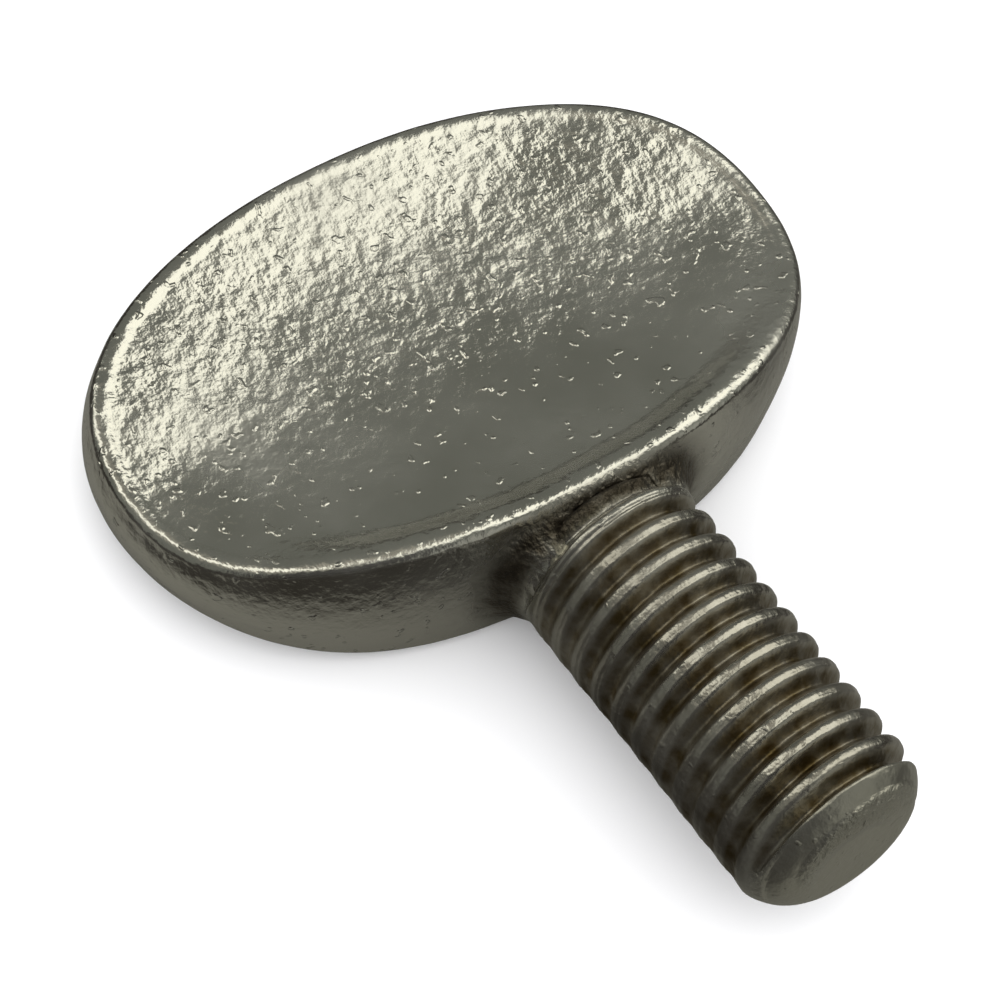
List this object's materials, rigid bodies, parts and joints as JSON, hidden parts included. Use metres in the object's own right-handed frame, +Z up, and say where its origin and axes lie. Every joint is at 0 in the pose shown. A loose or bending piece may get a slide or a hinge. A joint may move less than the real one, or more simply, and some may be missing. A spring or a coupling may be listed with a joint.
{
  "type": "thumb screw",
  "caption": "Nickel-plated thumb screw with an oval dished grip and an M5 thread with a rounded point.",
  "frame": {"origin": "middle of the footprint, on the surface the screw lies on", "axes": "+X along the screw from the grip to the point, +Y along the grip's long way, +Z up from the surface"},
  "size_m": [0.0226, 0.019, 0.0057],
  "materials": {
    "nickel": "satin"
  },
  "bodies": {
    "root": {"thumb_screw": "nickel"}
  },
  "joints": []
}
